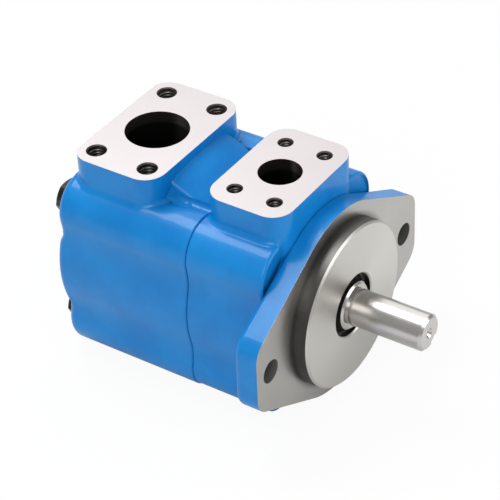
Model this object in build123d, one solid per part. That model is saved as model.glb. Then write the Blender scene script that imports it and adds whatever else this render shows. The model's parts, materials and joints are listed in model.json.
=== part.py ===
from build123d import *
from math import acos, asin, cos, degrees, pi, radians, sin, sqrt
import os

# Hydraulic vane pump, millimetres.
# The origin is the centre of the mounting pilot on the flange face.
# +X runs along the shaft out of the drive end, +Z points up to the two ports.

# Mounting flange and pilot
FLANGE_T = 12.5
FLANGE_BACK_ROUND = 3.0
MOUNT_BOLT_SPACING = 146.05
MOUNT_HOLE_R = 7.15
EAR_REACH = 87.4
EAR_CORNER_R = 13.0
EAR_FLAT_HALF = 15.8
PILOT_R = 50.8
PILOT_H = 9.53
PILOT_EDGE = 1.2
NOSE_BORE_R = 19.4
NOSE_EDGE = 0.8

# Section shared by the body and the cover: a round barrel with four screw lobes
BARREL_R = 60.3
LOBE_R = 27.8
LOBE_OFFSET = 32.0
VALLEY_ROUND = 9.0
LOBE_FRONT_GAP = 1.6
LOBE_FRONT_ROUND = 2.0
SEAM_X = -65.1
SEAM_EDGE = 0.6
COVER_LENGTH = 91.4
COVER_BACK_ROUND = 5.0

# Port pads
PAD_TOP_Z = 76.2
PAD_CORNER_R = 13.0
TAP_EDGE = 0.7
TAP_TIP_ANGLE = 118.0
OUTLET_X = -38.1
OUTLET_PAD_LENGTH = 54.0
OUTLET_PAD_WIDTH = 82.0
OUTLET_PORT_R = 12.7
OUTLET_BOLT_X = 26.19
OUTLET_BOLT_Y = 52.37
OUTLET_TAP_R = 3.97
OUTLET_TAP_DEPTH = 20.0
INLET_X = -122.4
INLET_PAD_LENGTH = 58.5
INLET_PAD_WIDTH = 93.0
INLET_PORT_R = 19.05
INLET_BOLT_X = 35.71
INLET_BOLT_Y = 69.85
INLET_TAP_R = 5.4
INLET_TAP_DEPTH = 24.0

# Ramp cast behind the inlet pad
RAMP_DROP = 8.2
RAMP_RUN = 22.5
RAMP_FOOT_Z = 57.6
RAMP_SAG = 1.0
RAMP_TOP_HALF = 25.0
RAMP_FOOT_HALF = 37.0
RAMP_EDGE_ROUND = 5.0

# Cavities in the castings
SEAL_BORE_R = 22.5
OUTLET_CORE_R = 41.5
OUTLET_CORE_FRONT_X = -34.0
CARTRIDGE_BORE_R = 37.5
BODY_LAND_LENGTH = 15.1
INLET_CORE_R = 41.0
COVER_LAND_LENGTH = 7.0
TAIL_LAND_LENGTH = 12.0
COVER_WALL = 8.5
PORT_FLOOR_Z = 38.0

# Cover screws
COVER_SCREW_OFFSET = 35.4
COVER_SCREW_R = 6.35
COVER_SCREW_REACH = 23.0
COVER_HOLE_GAP = 0.4
TAPPED_HOLE_GAP = 0.1
TAPPED_HOLE_SPARE = 3.0
SCREW_HEAD_FLATS = 19.05
SCREW_HEAD_H = 8.0
SCREW_HEAD_EDGE = 1.6
SCREW_POINT = 1.0

# Drive shaft
SHAFT_R = 11.11
SHAFT_REACH = 58.7
SHAFT_POINT = 1.5
CENTRE_HOLE_R = 1.6
CENTRE_HOLE_MOUTH_R = 3.3
CENTRE_HOLE_DEPTH = 7.0
ROOT_GROOVE_W = 1.6
ROOT_GROOVE_D = 0.6
KEYWAY_W = 6.35
KEYWAY_D = 3.2
KEYWAY_LENGTH = 31.8
KEYWAY_ANGLE = -55.0
JOURNAL_R = 14.7
JOURNAL_FRONT_X = 10.6
JOURNAL_EDGE = 1.2
SHAFT_COLLAR_R = 18.0
SHAFT_COLLAR_W = 3.6
MID_SHAFT_R = 13.2
TAIL_R = 9.5
TAIL_POINT = 1.0
TAIL_SHORT = 1.5

# Spline between shaft and rotor
SPLINE_TEETH = 12
SPLINE_TOOTH_W = 3.2
SPLINE_ROOT_R = 11.5
SPLINE_GAP = 0.1

# Shaft seal, washer, bearing and retaining rings
SEAL_FRONT_X = 4.5
SEAL_W = 9.0
SEAL_WALL = 1.6
SEAL_FIT_GAP = 0.05
SEAL_CASE_MOUTH_R = 18.2
LIP_CONTACT_GAP = 0.05
LIP_WALL = 1.5
LIP_HEEL_R = 18.6
GARTER_WIRE_R = 0.9
WASHER_T = 2.0
WASHER_BORE_R = 18.6
WASHER_GAP = 0.2
BEARING_R = 31.0
BEARING_BORE_R = 15.0
BEARING_W = 16.0
BEARING_FIT_GAP = 0.02
RACE_WALL = 4.5
RACE_EDGE = 0.8
BALL_R = 4.76
BALL_COUNT = 9
BALL_GAP = 0.03
CAGE_WALL = 2.4
CAGE_W = 11.4
POCKET_GAP = 0.15
SNAP_RING_T = 1.5
SNAP_RING_BITE = 1.2
SNAP_RING_REACH = 2.2
RETAINER_T = 2.0
RETAINER_BITE = 1.8
RETAINER_REACH = 3.2
RETAINER_LUG_R = 2.6
RETAINER_EYE_R = 1.1
RING_GAP_W = 8.0
RING_SEAT_GAP = 0.1

# Pumping cartridge
CARTRIDGE_R = 37.2
PLATE_BACK_X = -62.0
OUTLET_PLATE_T = 16.0
FLEX_PLATE_T = 2.5
CAM_RING_T = 30.0
INLET_PLATE_T = 14.0
CAM_MINOR_R = 26.3
CAM_MAJOR_R = 29.8
MINOR_DWELL = 15.0
MAJOR_DWELL = 12.0
CAM_STEP = 5.0
CAM_EDGE_ANGLE = 0.0
HUB_R = 31.5
HUB_LENGTH = 19.5
HUB_BORE_GAP = 0.3
PLATE_BORE_R = 14.0
BUSH_WALL = 2.2
BUSH_RUN_GAP = 0.04
BUSH_FIT_GAP = 0.02
KIDNEY_R = 27.0
KIDNEY_W = 5.0
KIDNEY_SPAN = 34.0
KIDNEY_CENTRE = 45.0
WINDOW_W = 17.0
WINDOW_LENGTH = 8.0
DOWEL_R = 2.4
DOWEL_CIRCLE_R = 31.5
DOWEL_ANGLE = 9.0
DOWEL_BLIND = 4.0
DOWEL_GAP = 0.06
CAP_HEAD_R = 4.2
CAP_HEAD_H = 4.5
CAP_SOCKET_FLATS = 4.0
CAP_SOCKET_DEPTH = 2.4
CAP_SINK = 0.5
CAP_HEAD_GAP = 0.2

# Rotor and vanes
ROTOR_TIP_GAP = 0.35
ROTOR_SIDE_GAP = 0.1
VANE_COUNT = 10
VANE_T = 3.0
VANE_TIP_GAP = 0.15
VANE_TIP_ROUND = 2.5
VANE_FACE_GAP = 0.04
VANE_HEIGHT = 9.8
SLOT_FLOOR_GAP = 0.7
INSERT_LENGTH = 12.0
INSERT_HEIGHT = 4.2
NOTCH_HEIGHT = 5.8
NOTCH_GAP = 0.1
FEED_HOLE_R = 1.2
FEED_CIRCLE_R = 20.5

# Static seals
CORD_SEAL_R = 1.28
BACKUP_RING_T = 1.3
SEAL_GROOVE_SPARE = 0.7
SEAL_SEAT_GAP = 0.03
PLATE_GROOVE_BACK = 2.6
HUB_GROOVE_FRONT = 1.6
COVER_SEAL_T = 2.8
COVER_SEAL_W = 3.4
COVER_SEAL_WALL = 0.5
COVER_SEAL_GAP = 0.1

# Numerical slack when edges are picked by their plane
PLANE_FUZZ = 1e-4

# Stations along the shaft, each worked out from the one before it
COVER_BACK_X = SEAM_X - COVER_LENGTH
LOBE_FRONT_X = -FLANGE_T - LOBE_FRONT_GAP
SEAL_BACK_X = SEAL_FRONT_X - SEAL_W
WASHER_FRONT_X = SEAL_BACK_X - 0.5
BEARING_FRONT_X = WASHER_FRONT_X - WASHER_T
BEARING_BACK_X = BEARING_FRONT_X - BEARING_W
RETAINER_BACK_X = BEARING_BACK_X - RETAINER_T - 2 * RING_SEAT_GAP
OUTLET_PLATE_FRONT_X = PLATE_BACK_X + OUTLET_PLATE_T
HUB_FRONT_X = OUTLET_PLATE_FRONT_X + HUB_LENGTH
CAM_FRONT_X = PLATE_BACK_X - FLEX_PLATE_T
CAM_BACK_X = CAM_FRONT_X - CAM_RING_T
INLET_PLATE_FRONT_X = CAM_BACK_X - FLEX_PLATE_T
INLET_PLATE_BACK_X = INLET_PLATE_FRONT_X - INLET_PLATE_T
PITCH_R = (BEARING_R + BEARING_BORE_R) / 2
ROTOR_R = CAM_MINOR_R - ROTOR_TIP_GAP
VANE_TIP_R = CAM_MINOR_R - VANE_TIP_GAP
VANE_ROOT_R = VANE_TIP_R - VANE_HEIGHT
SLOT_FLOOR_R = VANE_ROOT_R - SLOT_FLOOR_GAP


def tube(radius, x_back, x_front, hole_r=0.0):
    """A disc or tube about the shaft's axis between two stations."""
    section = Circle(radius)
    if hole_r:
        section -= Circle(hole_r)
    return extrude(Plane.YZ.offset(x_back) * section, amount=x_front - x_back)


def slab(section, x_back, x_front):
    """A section drawn across the shaft, extruded between two stations."""
    return extrude(Plane.YZ.offset(x_back) * section, amount=x_front - x_back)


def polar(radius, angle):
    """Y and Z of a point at a radius and an angle about the shaft."""
    return radius * cos(radians(angle)), radius * sin(radians(angle))


def turned(*points):
    """A solid turned about the shaft's axis from its (x, radius) corners."""
    outline = Polyline(*points, close=True)
    return revolve(Plane.XZ * make_face(outline), axis=Axis.X)


def edges_at(solid, x):
    """The edges of a solid that lie in the plane across the shaft at x."""
    return solid.edges().filter_by_position(Axis.X, x - PLANE_FUZZ, x + PLANE_FUZZ)


def barrel_section(shrink=0.0):
    """Round barrel with four screw lobes and rounded valleys between them."""
    corners = [(y * LOBE_OFFSET, z * LOBE_OFFSET) for y in (-1, 1) for z in (-1, 1)]
    outline = Circle(BARREL_R) + [Pos(*corner) * Circle(LOBE_R) for corner in corners]
    outline = offset(outline, VALLEY_ROUND)
    return offset(outline, -VALLEY_ROUND - shrink)


def flange_section():
    """Two-bolt flange: a round centre and two ears joined by straight sides."""
    ear_y = EAR_REACH - EAR_CORNER_R
    corners = [(y * ear_y, z * EAR_FLAT_HALF) for y in (-1, 1) for z in (-1, 1)]
    rounds = [Pos(*corner) * Circle(EAR_CORNER_R) for corner in corners]
    return make_hull(ShapeList([Circle(BARREL_R).edge()] + [one.edge() for one in rounds]))


def screw_places():
    """Y and Z of the four cover screws."""
    return [(y * COVER_SCREW_OFFSET, z * COVER_SCREW_OFFSET) for y in (-1, 1) for z in (-1, 1)]


def port_pad(x, length, width):
    """Raised pad with upright walls, solid down to the shaft's axis."""
    return extrude(Pos(x, 0, 0) * RectangleRounded(length, width, PAD_CORNER_R), amount=PAD_TOP_Z)


def tapped_holes(x, spacing_x, spacing_y, radius, depth):
    """Four tapped holes with a lead-in at the pad face and a drill point below."""
    tip = radius / sin(radians(TAP_TIP_ANGLE / 2)) * cos(radians(TAP_TIP_ANGLE / 2))
    hole = Pos(0, 0, -depth) * extrude(Circle(radius), amount=depth)
    lead_in = Pos(0, 0, -TAP_EDGE / 2) * Cone(radius, radius + TAP_EDGE, TAP_EDGE)
    point = Pos(0, 0, -depth - tip / 2) * Cone(0, radius, tip)
    tool = hole + lead_in + point
    places = GridLocations(spacing_x, spacing_y, 2, 2)
    return [Pos(x, 0, PAD_TOP_Z) * place * tool for place in places]


def port_bore(x, radius):
    """Round port from the pad face down into the cavity."""
    return Pos(x, 0, PORT_FLOOR_Z) * extrude(Circle(radius), amount=PAD_TOP_Z - PORT_FLOOR_Z)


def make_pump_body():
    """Front casting: flange, pilot, half of the barrel and the outlet pad."""
    flange = slab(flange_section(), -FLANGE_T, 0)
    flange = fillet(edges_at(flange, -FLANGE_T), FLANGE_BACK_ROUND)
    pilot = tube(PILOT_R, -FLANGE_T, PILOT_H)
    pilot = chamfer(edges_at(pilot, PILOT_H), PILOT_EDGE)
    neck = tube(BARREL_R - FLANGE_BACK_ROUND, LOBE_FRONT_X - FLANGE_T, -FLANGE_T / 2)
    barrel = slab(barrel_section(), SEAM_X, LOBE_FRONT_X)
    barrel = fillet(edges_at(barrel, LOBE_FRONT_X), LOBE_FRONT_ROUND)
    barrel = chamfer(edges_at(barrel, SEAM_X), SEAM_EDGE)
    casting = barrel + neck + flange + pilot
    casting += port_pad(OUTLET_X, OUTLET_PAD_LENGTH, OUTLET_PAD_WIDTH)

    nose = tube(NOSE_BORE_R, SEAL_BACK_X, PILOT_H)
    nose += Pos(PILOT_H - NOSE_EDGE / 2, 0, 0) * Rot(0, 90, 0) * Cone(NOSE_BORE_R, NOSE_BORE_R + NOSE_EDGE, NOSE_EDGE)
    seal_bore = tube(SEAL_BORE_R, WASHER_FRONT_X, SEAL_FRONT_X)
    bearing_bore = tube(BEARING_R, RETAINER_BACK_X, WASHER_FRONT_X)
    ring_groove = tube(BEARING_R + RETAINER_BITE, RETAINER_BACK_X, BEARING_BACK_X)
    hub_bore = tube(HUB_R + HUB_BORE_GAP, OUTLET_CORE_FRONT_X, RETAINER_BACK_X)
    core = tube(OUTLET_CORE_R, SEAM_X + BODY_LAND_LENGTH, OUTLET_CORE_FRONT_X)
    land = tube(CARTRIDGE_BORE_R, SEAM_X, SEAM_X + BODY_LAND_LENGTH)
    seal_seat_r = CARTRIDGE_BORE_R + COVER_SEAL_WALL + COVER_SEAL_W + COVER_SEAL_GAP
    seal_seat = tube(seal_seat_r, SEAM_X, SEAM_X + COVER_SEAL_T + COVER_SEAL_GAP)
    casting -= nose + seal_bore + bearing_bore + ring_groove + hub_bore + core + land + seal_seat
    casting -= port_bore(OUTLET_X, OUTLET_PORT_R)
    casting -= tapped_holes(OUTLET_X, OUTLET_BOLT_X, OUTLET_BOLT_Y, OUTLET_TAP_R, OUTLET_TAP_DEPTH)

    tapped_end = SEAM_X + COVER_SCREW_REACH + TAPPED_HOLE_SPARE
    for place in screw_places():
        casting -= slab(Pos(*place) * Circle(COVER_SCREW_R + TAPPED_HOLE_GAP), SEAM_X, tapped_end)
    for side in (-1, 1):
        hole = Pos(side * MOUNT_BOLT_SPACING / 2, 0) * Circle(MOUNT_HOLE_R)
        casting -= slab(hole, -FLANGE_T, 0)
    return casting


def make_ramp():
    """Cast hump that slopes from the inlet pad down to the barrel at the seam."""
    start = INLET_X + INLET_PAD_LENGTH / 2
    top = PAD_TOP_Z - RAMP_DROP
    slope = ThreePointArc(
        (start, top),
        (start + RAMP_RUN / 2, (top + RAMP_FOOT_Z) / 2 - RAMP_SAG),
        (start + RAMP_RUN, RAMP_FOOT_Z),
    )
    rest = Polyline((start + RAMP_RUN, RAMP_FOOT_Z), (start + RAMP_RUN, 0), (INLET_X, 0), (INLET_X, top), (start, top))
    side_view = extrude(Plane.XZ * make_face(slope + rest), amount=RAMP_FOOT_HALF, both=True)
    front_view = make_face(
        Polyline(
            (-RAMP_FOOT_HALF, 0),
            (-RAMP_FOOT_HALF, RAMP_FOOT_Z),
            (-RAMP_TOP_HALF, top),
            (RAMP_TOP_HALF, top),
            (RAMP_FOOT_HALF, RAMP_FOOT_Z),
            (RAMP_FOOT_HALF, 0),
            close=True,
        )
    )
    crests = front_view.vertices().filter_by_position(Axis.Y, top - PLANE_FUZZ, top + PLANE_FUZZ)
    front_view = fillet(crests, RAMP_EDGE_ROUND)
    return side_view & slab(front_view, INLET_X, start + RAMP_RUN)


def make_inlet_cover():
    """Rear casting: the other part of the barrel, the inlet pad and its ramp."""
    barrel = slab(barrel_section(), COVER_BACK_X, SEAM_X)
    barrel = fillet(edges_at(barrel, COVER_BACK_X), COVER_BACK_ROUND)
    barrel = chamfer(edges_at(barrel, SEAM_X), SEAM_EDGE)
    casting = barrel + port_pad(INLET_X, INLET_PAD_LENGTH, INLET_PAD_WIDTH) + make_ramp()

    tail_land_x = INLET_PLATE_BACK_X + TAIL_LAND_LENGTH
    land = tube(CARTRIDGE_BORE_R, COVER_BACK_X + COVER_WALL, SEAM_X)
    core = tube(INLET_CORE_R, tail_land_x, SEAM_X - COVER_LAND_LENGTH)
    rear_core = tube(INLET_CORE_R, COVER_BACK_X + COVER_WALL, INLET_PLATE_BACK_X)
    casting -= land + core + rear_core
    casting -= port_bore(INLET_X, INLET_PORT_R)
    casting -= tapped_holes(INLET_X, INLET_BOLT_X, INLET_BOLT_Y, INLET_TAP_R, INLET_TAP_DEPTH)
    for place in screw_places():
        casting -= slab(Pos(*place) * Circle(COVER_SCREW_R + COVER_HOLE_GAP), COVER_BACK_X, SEAM_X)
    return casting


def make_cover_screws():
    """Four hex head screws from the cover's rear face into the body."""
    corner_r = SCREW_HEAD_FLATS / sqrt(3)
    head = slab(RegularPolygon(corner_r, 6), COVER_BACK_X - SCREW_HEAD_H, COVER_BACK_X)
    crown = tube(corner_r, COVER_BACK_X - SCREW_HEAD_H, COVER_BACK_X)
    crown = chamfer(edges_at(crown, COVER_BACK_X - SCREW_HEAD_H), SCREW_HEAD_EDGE / 2, SCREW_HEAD_EDGE)
    shank = tube(COVER_SCREW_R, COVER_BACK_X, SEAM_X + COVER_SCREW_REACH)
    shank = chamfer(edges_at(shank, SEAM_X + COVER_SCREW_REACH), SCREW_POINT)
    screw = (head & crown) + shank
    return [Pos(0, *place) * screw for place in screw_places()]


def make_cover_seal():
    """Square-cut ring in the body's counterbore at the seam."""
    inner = CARTRIDGE_BORE_R + COVER_SEAL_WALL
    return [tube(inner + COVER_SEAL_W, SEAM_X, SEAM_X + COVER_SEAL_T, inner)]


def shaft_outline():
    """Half section of the shaft, from the drive end back to the tail."""
    root_x = JOURNAL_FRONT_X + ROOT_GROOVE_W
    ring_front_x = BEARING_FRONT_X + SNAP_RING_T + 2 * RING_SEAT_GAP
    collar_back_x = BEARING_BACK_X - SHAFT_COLLAR_W
    tail_x = CAM_BACK_X + ROTOR_SIDE_GAP
    end_x = INLET_PLATE_BACK_X + TAIL_SHORT
    groove_r = BEARING_BORE_R - SNAP_RING_BITE
    return [
        (SHAFT_REACH, 0),
        (SHAFT_REACH, SHAFT_R - SHAFT_POINT),
        (SHAFT_REACH - SHAFT_POINT, SHAFT_R),
        (root_x, SHAFT_R),
        (root_x, SHAFT_R - ROOT_GROOVE_D),
        (JOURNAL_FRONT_X, SHAFT_R - ROOT_GROOVE_D),
        (JOURNAL_FRONT_X, JOURNAL_R - JOURNAL_EDGE),
        (JOURNAL_FRONT_X - JOURNAL_EDGE, JOURNAL_R),
        (ring_front_x, JOURNAL_R),
        (ring_front_x, groove_r),
        (BEARING_FRONT_X, groove_r),
        (BEARING_FRONT_X, BEARING_BORE_R - BEARING_FIT_GAP),
        (BEARING_BACK_X, BEARING_BORE_R - BEARING_FIT_GAP),
        (BEARING_BACK_X, SHAFT_COLLAR_R),
        (collar_back_x, SHAFT_COLLAR_R),
        (collar_back_x, MID_SHAFT_R),
        (CAM_FRONT_X, MID_SHAFT_R),
        (CAM_FRONT_X, SPLINE_ROOT_R),
        (tail_x, SPLINE_ROOT_R),
        (tail_x, TAIL_R),
        (end_x + TAIL_POINT, TAIL_R),
        (end_x, TAIL_R - TAIL_POINT),
        (end_x, 0),
    ]


def spline_teeth(gap):
    """Straight-sided spline teeth, grown by a gap on every side."""
    tip_r = MID_SHAFT_R + gap
    base_r = SPLINE_ROOT_R / 2
    tooth = Pos((base_r + tip_r) / 2, 0) * Rectangle(tip_r - base_r, SPLINE_TOOTH_W + 2 * gap)
    teeth = Circle(SPLINE_ROOT_R + gap)
    teeth += [Rot(0, 0, turn * 360 / SPLINE_TEETH) * tooth for turn in range(SPLINE_TEETH)]
    return teeth


def make_drive_shaft():
    """Shaft with keyway, seal journal, bearing seat, collar, spline and tail."""
    shaft = turned(*shaft_outline())
    shaft += slab(spline_teeth(0), CAM_BACK_X + ROTOR_SIDE_GAP, CAM_FRONT_X)
    hole = tube(CENTRE_HOLE_R, SHAFT_REACH - CENTRE_HOLE_DEPTH, SHAFT_REACH)
    mouth_depth = CENTRE_HOLE_MOUTH_R - CENTRE_HOLE_R
    mouth = Pos(SHAFT_REACH - mouth_depth / 2, 0, 0) * Rot(0, 90, 0) * Cone(CENTRE_HOLE_R, CENTRE_HOLE_MOUTH_R, mouth_depth)
    keyway = Pos(SHAFT_REACH - KEYWAY_LENGTH / 2, 0) * SlotOverall(KEYWAY_LENGTH + KEYWAY_W, KEYWAY_W)
    keyway = Pos(0, 0, SHAFT_R - KEYWAY_D) * extrude(keyway, amount=KEYWAY_D)
    return [shaft - hole - mouth - Rot(KEYWAY_ANGLE - 90, 0, 0) * keyway]


def make_shaft_seal_case():
    """Pressed steel case of the shaft seal: outer wall and front web."""
    outer = SEAL_BORE_R - SEAL_FIT_GAP
    inner = outer - SEAL_WALL
    case = tube(outer, SEAL_BACK_X, SEAL_FRONT_X, inner)
    return [case + tube(outer, SEAL_FRONT_X - SEAL_WALL, SEAL_FRONT_X, SEAL_CASE_MOUTH_R)]


def make_shaft_seal_lip():
    """Rubber lip moulded to the case, sloping down to the journal."""
    web_x = SEAL_FRONT_X - SEAL_WALL
    lip_r = JOURNAL_R + LIP_CONTACT_GAP
    case_r = SEAL_BORE_R - SEAL_FIT_GAP - SEAL_WALL
    lip = turned(
        (web_x, case_r),
        (web_x, LIP_HEEL_R),
        (SEAL_BACK_X + LIP_WALL, lip_r),
        (SEAL_BACK_X, lip_r + LIP_WALL / 2),
        (SEAL_BACK_X, garter_ring_r() - GARTER_WIRE_R),
        (SEAL_BACK_X + 2 * LIP_WALL, garter_ring_r() - GARTER_WIRE_R),
        (web_x - LIP_WALL, LIP_HEEL_R + LIP_WALL),
        (web_x - LIP_WALL, case_r),
    )
    return [lip]


def garter_ring_r():
    """Radius of the garter spring's coil centre, just outside the lip."""
    return JOURNAL_R + LIP_CONTACT_GAP + LIP_WALL + GARTER_WIRE_R


def make_garter_spring():
    """Closed spring ring that loads the lip, drawn as a plain ring."""
    ring = Torus(garter_ring_r() + SEAL_SEAT_GAP, GARTER_WIRE_R)
    return [Pos(SEAL_BACK_X + GARTER_WIRE_R, 0, 0) * Rot(0, 90, 0) * ring]


def make_seal_washer():
    """Flat washer between the shaft seal and the bearing."""
    return [tube(BEARING_R - WASHER_GAP, BEARING_FRONT_X, WASHER_FRONT_X, WASHER_BORE_R)]


def race_groove():
    """The ball track cut into both races."""
    middle_x = (BEARING_FRONT_X + BEARING_BACK_X) / 2
    return Pos(middle_x, 0, 0) * Rot(0, 90, 0) * Torus(PITCH_R, BALL_R + BALL_GAP)


def make_bearing_outer_race():
    """Outer race with its ball track and edge chamfers."""
    outer_r = BEARING_R - BEARING_FIT_GAP
    race = tube(outer_r, BEARING_BACK_X, BEARING_FRONT_X)
    race = chamfer(edges_at(race, BEARING_BACK_X) + edges_at(race, BEARING_FRONT_X), RACE_EDGE)
    return [race - tube(BEARING_R - RACE_WALL, BEARING_BACK_X, BEARING_FRONT_X) - race_groove()]


def make_bearing_inner_race():
    """Inner race with its ball track."""
    race = tube(BEARING_BORE_R + RACE_WALL, BEARING_BACK_X, BEARING_FRONT_X, BEARING_BORE_R)
    return [race - race_groove()]


def make_bearing_balls():
    """Ring of balls between the races."""
    middle_x = (BEARING_FRONT_X + BEARING_BACK_X) / 2
    turns = [ball * 360 / BALL_COUNT for ball in range(BALL_COUNT)]
    return [Pos(middle_x, *polar(PITCH_R, turn)) * Sphere(BALL_R) for turn in turns]


def make_bearing_cage():
    """Cage ring with one drilled pocket per ball."""
    middle_x = (BEARING_FRONT_X + BEARING_BACK_X) / 2
    cage = tube(PITCH_R + CAGE_WALL / 2, middle_x - CAGE_W / 2, middle_x + CAGE_W / 2, PITCH_R - CAGE_WALL / 2)
    pocket = Pos(middle_x, 0, PITCH_R) * Cylinder(BALL_R + POCKET_GAP, 2 * CAGE_WALL)
    for ball in range(BALL_COUNT):
        cage -= Rot(ball * 360 / BALL_COUNT - 90, 0, 0) * pocket
    return [cage]


def make_shaft_snap_ring():
    """Open ring in the shaft groove, in front of the bearing."""
    inner = BEARING_BORE_R - SNAP_RING_BITE + SEAL_SEAT_GAP
    front = BEARING_FRONT_X + SNAP_RING_T + RING_SEAT_GAP
    ring = tube(BEARING_BORE_R + SNAP_RING_REACH, front - SNAP_RING_T, front, inner)
    gap = slab(Pos(BEARING_BORE_R, 0) * Rectangle(BEARING_BORE_R, RING_GAP_W), front - SNAP_RING_T, front)
    return [ring - gap]


def make_bearing_retaining_ring():
    """Open ring with two eyed lugs in the body groove, behind the bearing."""
    front = BEARING_BACK_X - RING_SEAT_GAP
    back = front - RETAINER_T
    outer = BEARING_R + RETAINER_BITE - RING_SEAT_GAP
    inner = BEARING_R - RETAINER_REACH
    gap = Pos(BEARING_R, 0) * Rectangle(BEARING_R, RING_GAP_W)
    lug_r = inner - RETAINER_LUG_R / 2
    lug_angle = degrees(asin((RING_GAP_W / 2 + RETAINER_LUG_R) / lug_r))
    section = Circle(outer) - Circle(inner) - gap
    for angle in (-lug_angle, lug_angle):
        lug = Pos(*polar(lug_r, angle)) * Circle(RETAINER_LUG_R)
        section += lug + Pos(*polar(lug_r + RETAINER_LUG_R / 2, angle)) * Circle(RETAINER_LUG_R)
    for angle in (-lug_angle, lug_angle):
        section -= Pos(*polar(lug_r, angle)) * Circle(RETAINER_EYE_R)
    return [slab(section, back, front)]


def kidney_sketch(angle):
    """One curved port in a side plate, centred at an angle."""
    arc = CenterArc((0, 0), KIDNEY_R, angle - KIDNEY_SPAN / 2, KIDNEY_SPAN)
    return SlotArc(arc, KIDNEY_W)


def outlet_angles():
    """Where the chambers shrink, so the fluid leaves."""
    return (-KIDNEY_CENTRE, 180 - KIDNEY_CENTRE)


def inlet_angles():
    """Where the chambers grow, so the fluid enters."""
    return (KIDNEY_CENTRE, 180 + KIDNEY_CENTRE)


def dowel_places(side):
    """Y and Z of two holes beside the cam's minor axis, one at each end."""
    return [polar(DOWEL_CIRCLE_R, side * DOWEL_ANGLE), polar(DOWEL_CIRCLE_R, 180 + side * DOWEL_ANGLE)]


def dowel_holes(x_back, x_front):
    """Through holes for the locating pins and the cartridge screws."""
    places = dowel_places(1) + dowel_places(-1)
    return [slab(Pos(*place) * Circle(DOWEL_R + DOWEL_GAP), x_back, x_front) for place in places]


def cord_groove(seat_r, x_back):
    """Groove for a cord seal and its backup ring in a seat of radius seat_r."""
    width = 2 * CORD_SEAL_R + BACKUP_RING_T + SEAL_GROOVE_SPARE
    depth_r = seat_r - 2 * CORD_SEAL_R - 2 * SEAL_SEAT_GAP
    return tube(seat_r + 1, x_back, x_back + width, depth_r)


def cord_seal(seat_r, x_back):
    """Round cord seal at the pressure side of its groove."""
    x = x_back + BACKUP_RING_T + CORD_SEAL_R + SEAL_GROOVE_SPARE / 2
    return Pos(x, 0, 0) * Rot(0, 90, 0) * Torus(seat_r - CORD_SEAL_R - SEAL_SEAT_GAP, CORD_SEAL_R)


def backup_ring(seat_r, x_back):
    """Flat backup ring behind a cord seal."""
    x = x_back + SEAL_SEAT_GAP
    return tube(seat_r - SEAL_SEAT_GAP, x, x + BACKUP_RING_T, seat_r - 2 * CORD_SEAL_R - SEAL_SEAT_GAP)


def make_outlet_support_plate():
    """Front plate of the cartridge with its sealed hub and outlet passages."""
    plate = tube(CARTRIDGE_R, PLATE_BACK_X, OUTLET_PLATE_FRONT_X)
    plate += tube(HUB_R, PLATE_BACK_X, HUB_FRONT_X)
    plate = chamfer(edges_at(plate, HUB_FRONT_X), SEAM_EDGE)
    plate -= tube(PLATE_BORE_R, PLATE_BACK_X, HUB_FRONT_X)
    plate -= tube(SHAFT_COLLAR_R + WASHER_GAP, BEARING_BACK_X - SHAFT_COLLAR_W - WASHER_GAP, HUB_FRONT_X)
    plate -= cord_groove(CARTRIDGE_BORE_R, PLATE_BACK_X + PLATE_GROOVE_BACK)
    plate -= cord_groove(HUB_R + HUB_BORE_GAP, hub_groove_x())
    window_front = OUTLET_PLATE_FRONT_X + WINDOW_LENGTH
    for angle in outlet_angles():
        plate -= slab(kidney_sketch(angle), PLATE_BACK_X, window_front)
        window = Rot(0, 0, angle) * Pos(KIDNEY_R + CARTRIDGE_R / 2, 0) * Rectangle(CARTRIDGE_R, WINDOW_W)
        plate -= slab(window, OUTLET_PLATE_FRONT_X, window_front)
    return [plate - dowel_holes(PLATE_BACK_X, OUTLET_PLATE_FRONT_X - DOWEL_BLIND)]


def hub_groove_x():
    """Station of the rear wall of the hub's seal groove."""
    width = 2 * CORD_SEAL_R + BACKUP_RING_T + SEAL_GROOVE_SPARE
    return HUB_FRONT_X - HUB_GROOVE_FRONT - width


def make_flex_plate(x_back):
    """Thin side plate with two inlet and two outlet ports."""
    plate = tube(CARTRIDGE_R, x_back, x_back + FLEX_PLATE_T, PLATE_BORE_R)
    for angle in inlet_angles() + outlet_angles():
        plate -= slab(kidney_sketch(angle), x_back, x_back + FLEX_PLATE_T)
    return [plate - dowel_holes(x_back, x_back + FLEX_PLATE_T)]


def cam_radius(angle):
    """Cam track radius: minor dwell, smooth rise, major dwell, twice a turn."""
    from_minor = degrees(acos(abs(cos(radians(angle - CAM_EDGE_ANGLE)))))
    rise = (from_minor - MINOR_DWELL) / (90 - MINOR_DWELL - MAJOR_DWELL)
    rise = min(max(rise, 0), 1)
    return CAM_MINOR_R + (CAM_MAJOR_R - CAM_MINOR_R) * (rise - sin(2 * pi * rise) / (2 * pi))


def make_cam_ring():
    """Ring with the two-lobed track that the vanes follow."""
    steps = round(360 / CAM_STEP)
    track = Spline([polar(cam_radius(step * CAM_STEP), step * CAM_STEP) for step in range(steps)], periodic=True)
    ring = slab(Circle(CARTRIDGE_R) - make_face(track), CAM_BACK_X, CAM_FRONT_X)
    return [ring - dowel_holes(CAM_BACK_X, CAM_FRONT_X)]


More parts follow.
